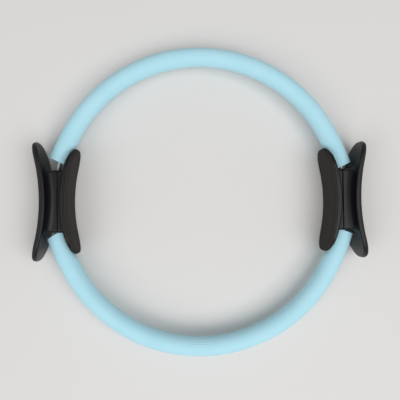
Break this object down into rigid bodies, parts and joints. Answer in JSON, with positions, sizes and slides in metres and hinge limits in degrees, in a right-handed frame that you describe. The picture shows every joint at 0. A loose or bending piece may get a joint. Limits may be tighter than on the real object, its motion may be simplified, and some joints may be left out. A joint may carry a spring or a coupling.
{
  "type": "pilates ring",
  "caption": "Springy foam-sleeved exercise hoop with padded double-sided saddle grips on opposite sides, squeezed between hands or legs for resistance.",
  "frame": {"origin": "centre of the hoop, halfway through its depth", "axes": "+X across the grips, +Y across the bare stretches of the hoop, +Z along the hoop's axis, up when it lies flat"},
  "size_m": [0.3824, 0.3585, 0.052],
  "materials": {
    "sleeve_foam": "matte",
    "glass_fibre": "satin",
    "moulded_plastic": "satin",
    "pad_foam": "matte",
    "screw_steel": "satin"
  },
  "bodies": {
    "left_grip_with_hoop": {"left_outer_shell": "moulded_plastic", "left_inner_shell": "moulded_plastic", "left_outer_pad": "pad_foam", "left_inner_pad": "pad_foam", "left_clamp_screws": "screw_steel", "upper_band": "glass_fibre", "lower_band": "glass_fibre", "upper_sleeve": "sleeve_foam", "lower_sleeve": "sleeve_foam"},
    "right_grip": {"right_outer_shell": "moulded_plastic", "right_inner_shell": "moulded_plastic", "right_outer_pad": "pad_foam", "right_inner_pad": "pad_foam", "right_clamp_screws": "screw_steel"}
  },
  "joints": [
    {"name": "squeeze", "type": "slide", "parent": "left_grip_with_hoop", "child": "right_grip", "axis": [-1, 0, 0], "range_m": [-0.02, 0.06], "stiffness_N_per_m": 1760, "deforming": ["upper_band", "lower_band", "upper_sleeve", "lower_sleeve"]}
  ]
}
